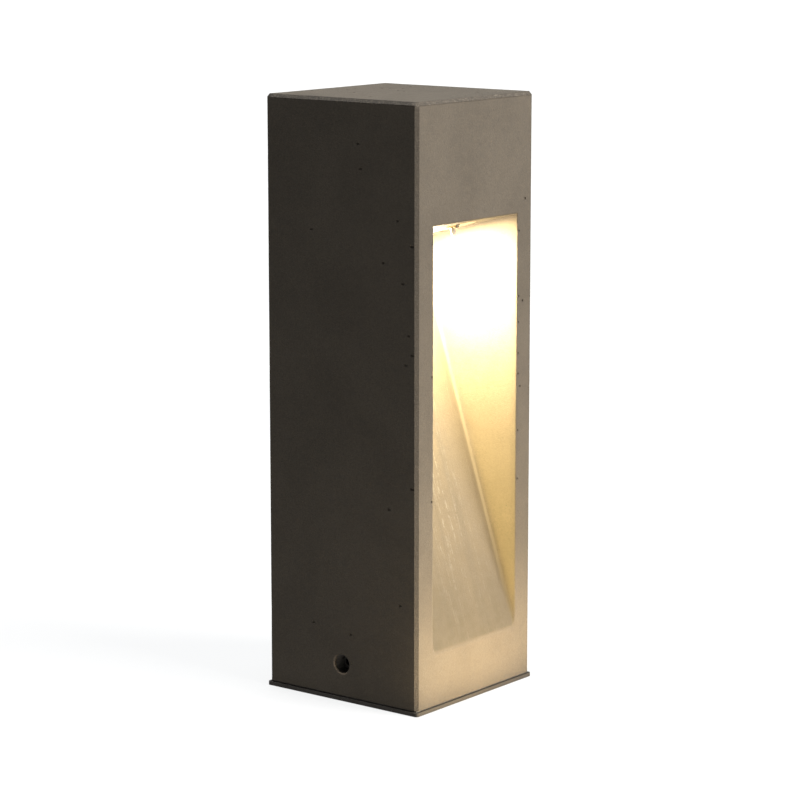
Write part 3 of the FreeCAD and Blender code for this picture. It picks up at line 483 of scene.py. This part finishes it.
FINISHES = {
    "cast_stone": cast_stone,
    "dark_steel": lambda: painted_steel("dark_steel", (0.0120, 0.0094, 0.0066), (0.040, 0.032, 0.024)),
    "gasket_rubber": lambda: rubber("gasket_rubber", (0.012, 0.011, 0.010)),
    "grommet_rubber": lambda: rubber("grommet_rubber", (0.020, 0.020, 0.021)),
    "zinc_steel": lambda: plated_steel("zinc_steel", (0.62, 0.63, 0.64), 0.36, 7.0),
    "zinc_sheet": lambda: plated_steel("zinc_sheet", (0.66, 0.67, 0.68), 0.30, 5.0),
    "zinc_nut": lambda: plated_steel("zinc_nut", (0.64, 0.63, 0.58), 0.28, 1.5),
    "zinc_screw": lambda: plated_steel("zinc_screw", (0.66, 0.65, 0.61), 0.25, 1.2),
    "zinc_washer": lambda: plated_steel("zinc_washer", (0.60, 0.60, 0.58), 0.32, 1.8),
    "black_screw": lambda: turned_metal("black_screw", (0.030, 0.028, 0.026), 0.55),
    "stainless_screw": lambda: turned_metal("stainless_screw", (0.16, 0.13, 0.10), 0.50),
    "brass_screw": lambda: turned_metal("brass_screw", (0.74, 0.54, 0.24), 0.24),
    "spring_steel": lambda: turned_metal("spring_steel", (0.34, 0.29, 0.22), 0.38),
    "block_plastic": lambda: moulded("block_plastic", (0.72, 0.69, 0.60), 0.45),
    "driver_plastic": lambda: moulded("driver_plastic", (0.028, 0.028, 0.031), 0.5, 0.8),
    "circuit_board": lambda: circuit_board("circuit_board", (0.02, 0.16, 0.06), (0.04, 0.30, 0.12)),
    "transformer_tape": lambda: wound_tape("transformer_tape", (0.66, 0.46, 0.08)),
    "capacitor_sleeve": lambda: moulded("capacitor_sleeve", (0.03, 0.04, 0.10), 0.22, 2.0),
    "conduit_plastic": lambda: moulded("conduit_plastic", (0.36, 0.37, 0.38), 0.5, 1.2),
    "lead_rubber": lambda: rubber("lead_rubber", (0.018, 0.018, 0.018)),
    "lamp_aluminium": lambda: painted_steel("lamp_aluminium", (0.066, 0.052, 0.036), (0.12, 0.10, 0.075)),
    "gland_nylon": lambda: moulded("gland_nylon", (0.03, 0.03, 0.03), 0.42),
    "plug_nylon": lambda: moulded("plug_nylon", (0.55, 0.54, 0.50), 0.48),
    "thermal_pad": lambda: rubber("thermal_pad", (0.30, 0.36, 0.42), 0.6),
    "led_board": lambda: circuit_board("led_board", (0.80, 0.80, 0.77), (0.66, 0.66, 0.62)),
    "led_emitter": lambda: lit_emitter("led_emitter"),
    "reflector_metal": lambda: bright_reflector("reflector_metal"),
    "clear_silicone": lambda: silicone("clear_silicone"),
    "cover_glass": lambda: clear_glass("cover_glass"),
}


# ---------------------------------------------------------------- the stone

def everything(bm):
    """All of a mesh, as the cutting operators want it."""
    return bm.verts[:] + bm.edges[:] + bm.faces[:]


def slice_at(bm, axis, place):
    """Cuts new edges where a plane across an axis meets the mesh."""
    normal = Vector((axis == 0, axis == 1, axis == 2))
    bmesh.ops.bisect_plane(bm, geom=everything(bm), dist=1e-7, plane_co=normal * place,
                           plane_no=normal)


def steps(low, high, size):
    """Evenly spaced places between two ends, about a size apart."""
    count = round((high - low) / size)
    return [low + (high - low) * step / count for step in range(1, count)]


def nearest_face(bm, point):
    """The face whose middle is nearest a point."""
    return min(bm.faces, key=lambda face: (face.calc_center_median() - point).length)


def bore(bm, place, steps, lip=0.6 * MM):
    """A round hole of (radius, depth) steps with a softened mouth, along minus the z of place."""
    patch = nearest_face(bm, place.translation)
    bmesh.ops.subdivide_edges(bm, edges=patch.edges[:], cuts=RING_CUTS)
    patch = nearest_face(bm, place.translation)
    mouth = steps[0][0]
    rings = [(mouth + lip, 0), (mouth + 0.3 * lip, 0.3 * lip), (mouth, lip)]
    for radius, depth in steps:
        rings += [(radius, rings[-1][1]), (radius, depth)]
    for wide, depth in rings:
        bmesh.ops.inset_individual(bm, faces=[patch], thickness=0.0)
        for vert in patch.verts:
            spoke = place.inverted() @ vert.co
            spoke.z = 0
            vert.co = place @ (spoke.normalized() * wide - Vector((0, 0, depth)))


def shaft(bm):
    """The square shaft, open underneath."""
    bmesh.ops.create_cube(bm, size=1)
    bmesh.ops.scale(bm, verts=bm.verts[:], vec=STONE_HIGH - STONE_LOW)
    bmesh.ops.translate(bm, verts=bm.verts[:], vec=(STONE_HIGH + STONE_LOW) / 2)
    under = nearest_face(bm, Vector((0, 0, FOOT)))
    bmesh.ops.delete(bm, geom=[under], context="FACES_ONLY")


def niche(bm):
    """Pushes the window back to the leaning plane and the tilted ceiling."""
    for side in (-WINDOW, WINDOW):
        slice_at(bm, 0, side)
    for level in (SILL, HEAD):
        slice_at(bm, 2, level)
    window = nearest_face(bm, Vector((0, -HALF, (SILL + HEAD) / 2)))
    grown = bmesh.ops.extrude_face_region(bm, geom=[window])["geom"]
    for vert in (part for part in grown if isinstance(part, bmesh.types.BMVert)):
        if vert.co.z > SILL + MM:
            vert.co.y, vert.co.z = BACK_Y, BACK_Z
    bmesh.ops.delete(bm, geom=[window], context="FACES")
    bmesh.ops.remove_doubles(bm, verts=bm.verts[:], dist=1e-6)


def square_patch(bm, place, half):
    """Cuts a square round the origin of place into the face that it lies on."""
    face = nearest_face(bm, place.translation)
    for axis in (0, 1):
        normal = place.to_3x3().col[axis]
        for side in (-half, half):
            near = [part for part in bm.faces if abs((part.calc_center_median()
                    - place.translation).dot(place.to_3x3().col[2])) < 1e-5
                    and part.normal.dot(face.normal) > 0.999]
            parts = near + list({edge for part in near for edge in part.edges})
            parts += list({vert for part in near for vert in part.verts})
            bmesh.ops.bisect_plane(bm, geom=parts, dist=1e-7, plane_no=normal,
                                   plane_co=place.translation + normal * side)


def soften(bm, wanted, width, segments):
    """Bevels the edges whose two ends pass a test: one segment is a flat chamfer."""
    edges = [edge for edge in bm.edges if wanted(*(vert.co for vert in edge.verts))]
    bmesh.ops.bevel(bm, geom=edges, offset=width, offset_type="OFFSET", segments=segments,
                    profile=0.5, affect="EDGES", material=-1, clamp_overlap=True)


def outer_arris(a, b):
    """Upright outer corners and the rim of the top."""
    upright = all(abs(abs(end.x) - HALF) < 1e-6 and abs(abs(end.y) - HALF) < 1e-6
                  for end in (a, b))
    rim = abs(a.z - TOP) < 1e-6 and abs(b.z - TOP) < 1e-6
    return upright or (rim and any(abs(abs(a[k]) - HALF) < 1e-6 and abs(a[k] - b[k]) < 1e-6
                                   for k in (0, 1)))


def inner_corner(a, b):
    """The two edges where the leaning back of the niche meets its side walls."""
    middle = (a + b) / 2
    on_side = abs(abs(a.x) - WINDOW) < 1e-6 and abs(a.x - b.x) < 1e-6
    return on_side and middle.y > -HALF + 2 * MM and SILL < middle.z < BACK_Z


def window_arris(a, b):
    """The two uprights and the lintel of the window's front edge."""
    flat = abs(a.y + HALF) < 1e-6 and abs(b.y + HALF) < 1e-6
    side = abs(abs(a.x) - WINDOW) < 1e-6 and abs(a.x - b.x) < 1e-6
    lintel = abs(a.z - HEAD) < 1e-6 and abs(b.z - HEAD) < 1e-6 and abs((a.x + b.x) / 2) < WINDOW
    return flat and ((side and SILL - 1e-6 < min(a.z, b.z) and max(a.z, b.z) < HEAD + 1e-6)
                     or lintel)


def clamp_into(vert, room):
    """Moves a vertex sideways into a room's outline."""
    vert.co.x = min(max(vert.co.x, room[0]), room[1])
    vert.co.y = min(max(vert.co.y, room[2]), room[3])


def rooms(bm):
    """Closes the underside round the base room and the gear room above it."""
    edges = [edge for edge in bm.edges if edge.is_boundary]
    for room in (BASE_ROOM, GEAR_ROOM):
        for step in ("inwards", "upwards"):
            grown = bmesh.ops.extrude_edge_only(bm, edges=edges)["geom"]
            verts = [part for part in grown if isinstance(part, bmesh.types.BMVert)]
            for vert in verts:
                if step == "inwards":
                    clamp_into(vert, room)
                else:
                    vert.co.z = room[4]
            bmesh.ops.remove_doubles(bm, verts=verts, dist=1e-6)
            edges = [edge for edge in bm.edges if edge.is_boundary]
    bmesh.ops.edgeloop_fill(bm, edges=edges)


def arris_wear(point):
    """1 on the outer arrises, falling to 0 on the faces."""
    gaps = sorted((HALF - abs(point.x), HALF - abs(point.y), TOP - point.z))
    return max(0.0, 1 - gaps[1] / (5 * MM)) ** 2


def weather(bm):
    """Rubs the arrises rough, chips them here and there, and ripples faces and niche."""
    bm.normal_update()
    moves = []
    for vert in bm.verts:
        point = vert.co
        if point.z < FOOT + 0.1 * MM:
            continue
        worn = arris_wear(point)
        sandy = 0.5 + 0.5 * noise.noise(point / (1.1 * MM))
        chip = max(0.0, noise.noise(point / (7 * MM) + Vector((9, 4, 2))) - 0.30)
        ripple = 0.5 + 0.5 * noise.noise(point / (34 * MM))
        depth = worn * (0.24 * sandy + 0.8 * chip * sandy) + 0.12 * ripple
        in_niche = abs(point.x) < WINDOW + 0.2 * MM and -HALF + 0.3 * MM < point.y < BACK_Y + MM
        if in_niche and SILL < point.z < HEAD:
            slope = Vector((point.x / (3.5 * MM), 0, point.z / (70 * MM)))
            depth += 0.07 * (0.5 + 0.5 * noise.noise(slope))
        moves.append((vert, vert.normal * depth * MM))
    for vert, move in moves:
        vert.co -= move


def pit(bm, spots):
    """Sinks a small pit in the face nearest each spot."""
    faces = bm.faces[:]
    tree = kdtree.KDTree(len(faces))
    for place, face in enumerate(faces):
        tree.insert(face.calc_center_median(), place)
    tree.balance()
    found = [tree.find(spot) for spot in spots]
    chosen = {place for point, place, gap in found if gap < PIT_REACH}
    picked = [faces[place] for place in sorted(chosen)]
    picked = [face for face in picked if len(face.verts) == 4]
    bmesh.ops.inset_individual(bm, faces=picked, thickness=PIT_MARGIN)
    for face in picked:
        normal = face.normal.copy()
        for vert in face.verts:
            vert.co -= normal * PIT_DEPTH


def pit_spots():
    """Air holes: some near the front left arris and the window's edge, the rest scattered."""
    spots = [Vector((-63, -58.5, level)) * MM for level in (308, 239, 152)]
    beside = WINDOW / MM + 1.7
    spots += [Vector((beside, -63, level)) * MM for level in (309, 265, 247, 226, 212, 174, 140)]
    spots += [Vector((-beside, -63, level)) * MM for level in (309, 223, 140)]
    spots += [Vector((-63, y, z)) * MM for y, z in (
        (-52, 284), (-57, 251), (-15, 371), (-17, 355), (-55, 232), (-36, 296), (-49, 72))]
    spots += [Vector((x, -63, z)) * MM for x, z in (
        (52, 262), (50, 204), (54, 330))]
    chance = random.Random(7)
    for _ in range(12):
        level = chance.uniform(12, 392) * MM
        along = chance.uniform(-58, 58) * MM
        side = chance.choice((-HALF, HALF))
        spots.append(chance.choice((Vector((side, along, level)), Vector((along, HALF, level)))))
    for _ in range(14):
        spots.append(Vector((chance.uniform(-58, 58) * MM, chance.uniform(-58, 58) * MM, TOP)))
    return spots


def new_piece(name, bm, material, slot, *nodes):
    """Makes a mesh into a finished piece that stands for CAD nodes."""
    mesh = bpy.data.meshes.new(name)
    bm.to_mesh(mesh)
    bm.free()
    mesh.set_sharp_from_angle(angle=math.radians(42))
    mesh.polygons.foreach_set("use_smooth", [True] * len(mesh.polygons))
    piece = bpy.data.objects.new(name, mesh)
    bpy.context.scene.collection.objects.link(piece)
    mesh.materials.append(material)
    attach(piece, "root")
    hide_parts(*nodes)
    return piece


def stone_piece(material):
    """The cast shaft with niche, lamp seat and pocket, access bores and rooms."""
    bm = bmesh.new()
    shaft(bm)
    niche(bm)
    square_patch(bm, CEILING, SEAT_RADIUS + 2 * MM)
    bore(bm, CEILING @ Matrix.Rotation(math.pi, 4, "X"),
         [(SEAT_RADIUS, FLANGE_THICKNESS), (POCKET_RADIUS, POCKET_DEPTH)], 0.2 * MM)
    for sign in (-1, 1):
        place = (Matrix.Translation((sign * HALF, 0, ACCESS_HEIGHT))
                 @ Matrix.Rotation(sign * math.pi / 2, 4, "Y"))
        square_patch(bm, place, 10 * MM)
        bore(bm, place, [(ACCESS_RADIUS, ACCESS_DEPTH)])
    bmesh.ops.recalc_face_normals(bm, faces=bm.faces[:])
    soften(bm, outer_arris, ARRIS, 1)
    soften(bm, inner_corner, CORNER_FILLET, 4)
    soften(bm, window_arris, WINDOW_EDGE, 3)
    for axis in (0, 1):
        for place in steps(-HALF + EDGE_BAND, HALF - EDGE_BAND, NET_ACROSS):
            slice_at(bm, axis, place)
    for level in steps(FOOT, TOP - EDGE_BAND, NET_UPWARDS):
        slice_at(bm, 2, level)
    rooms(bm)
    weather(bm)
    pit(bm, pit_spots())
    bmesh.ops.recalc_face_normals(bm, faces=bm.faces[:])
    return new_piece("stone_shaft", bm, material, "cast_stone", "stone_body")


# ---------------------------------------------------------------- the whole lantern

materials = {slot: make() for slot, make in FINISHES.items()}
slots = {row["node"]: row["material_slot"] for row in frame["record"]["subparts"]}
for node_name, piece in frame["nodes"].items():
    piece.data.materials.clear()
    piece.data.materials.append(materials[slots[node_name]])

stone_piece(materials["cast_stone"])


# ---------------------------------------------------------------- light, floor and camera

def floor():
    """A wide pale floor that glows a little, as a light table does."""
    bm = bmesh.new()
    bmesh.ops.create_grid(bm, x_segments=1, y_segments=1, size=60)
    mesh = bpy.data.meshes.new("floor")
    bm.to_mesh(mesh)
    bm.free()
    mesh.transform(Matrix.Translation((0, 0, -0.2 * MM)))
    ground = bpy.data.objects.new("floor", mesh)
    bpy.context.scene.collection.objects.link(ground)
    pale = Finish("pale_floor", Specular_IOR_Level=0.1, Roughness=0.9, Emission_Strength=0.80)
    patches = pale.noise(0.8, 2.0)
    pale.set(Base_Color=pale.mix(patches, (0.052, 0.052, 0.052), (0.057, 0.057, 0.056)),
             Emission_Color=pale.mix(patches, (1.0, 1.0, 1.0), (0.98, 0.98, 0.98)))
    mesh.materials.append(pale.material)


def sun(name, towards, strength, colour, angle):
    """A large soft source far away, in the direction given from the object."""
    light = bpy.data.lights.new(name, "SUN")
    light.energy = strength
    light.color = colour
    light.angle = math.radians(angle)
    lamp = bpy.data.objects.new(name, light)
    lamp.rotation_euler = Vector(towards).to_track_quat("Z", "Y").to_euler()
    bpy.context.scene.collection.objects.link(lamp)


def soft_box(name, size, energy, colour, place):
    """A small area light that shines along minus the z of its place, and isn't seen itself."""
    light = bpy.data.lights.new(name, "AREA")
    light.shape = "RECTANGLE"
    light.size, light.size_y = size
    light.energy = energy
    light.color = colour
    lamp = bpy.data.objects.new(name, light)
    lamp.matrix_world = place
    lamp.visible_camera = False
    bpy.context.scene.collection.objects.link(lamp)


def glow_ball(name, radius, energy, colour, place):
    """A small round light that isn't seen itself."""
    light = bpy.data.lights.new(name, "POINT")
    light.shadow_soft_size = radius
    light.energy = energy
    light.color = colour
    lamp = bpy.data.objects.new(name, light)
    lamp.matrix_world = place
    lamp.visible_camera = False
    bpy.context.scene.collection.objects.link(lamp)


def facing(x, y, z, direction):
    """A place whose minus z points in a direction."""
    turn = (-Vector(direction)).to_track_quat("Z", "Y").to_matrix().to_4x4()
    return Matrix.Translation((x * MM, y * MM, z * MM)) @ turn


def lantern_light():
    """The lantern's own warm light: its beam, and what walls and floor throw back of it."""
    glass = CEILING @ Matrix.Translation((0, 0, -1.2 * MM))
    soft_box("beam", (34 * MM, 34 * MM), 9.4, (1.0, 0.82, 0.47), glass)
    glow_ball("spill", 8 * MM, 0.7, (1.0, 0.84, 0.60),
              CEILING @ Matrix.Translation((0, 10 * MM, -22 * MM)))
    for sign in (-1, 1):
        soft_box("wall_wash", (30 * MM, 30 * MM), 1.15, (1.0, 0.86, 0.66),
                 facing(-12 * sign, 2, 280, (sign, 0.2, -0.02)))
    outward = Vector((0, -math.cos(LEAN), math.sin(LEAN)))
    middle = Vector((0, (BACK_Y - HALF) / 2, (SILL + BACK_Z) / 2)) + outward * 0.8 * MM
    soft_box("back_glow", (84 * MM, 255 * MM), 1.25, (1.0, 0.76, 0.26),
             facing(*(middle / MM), outward))
    soft_box("floor_glow", (90 * MM, 30 * MM), 0.42, (1.0, 0.74, 0.36),
             facing(0, -138, 10, (0, 1, 0.05)))
    soft_box("floor_pool", (190 * MM, 130 * MM), 1.9, (1.0, 0.80, 0.48),
             facing(0, -150, 0.5, (0, 0, 1)))


def studio_world():
    """A faint even fill."""
    world = bpy.data.worlds.new("studio")
    world.use_nodes = True
    background = world.node_tree.nodes["Background"]
    background.inputs["Color"].default_value = (0.86, 0.93, 1.0, 1)
    background.inputs["Strength"].default_value = 0.04
    bpy.context.scene.world = world


def camera():
    """The view from the lantern's front left, slightly above it."""
    lens = bpy.data.cameras.new("view")
    lens.sensor_width = 36
    lens.lens = 129.9
    viewer = bpy.data.objects.new("view", lens)
    viewer.location = (-1.49917, -1.17340, 0.54026)
    viewer.rotation_euler = Vector((0.7748, 0.6065, -0.1789)).to_track_quat("-Z", "Y").to_euler()
    bpy.context.scene.collection.objects.link(viewer)
    bpy.context.scene.camera = viewer


floor()
sun("key", (0.21, -0.84, 0.49), 17.7, (1.0, 0.985, 0.955), 38)
sun("overhead", (0.05, 0.10, 1.0), 8.7, (0.92, 0.965, 1.0), 26)
soft_box("left_glow", (420 * MM, 40 * MM), 0.10, (1.0, 0.96, 0.88),
         facing(-200, 10, 8, (1, 0, 0)))
lantern_light()
studio_world()
camera()
bpy.context.scene.view_settings.view_transform = "Standard"
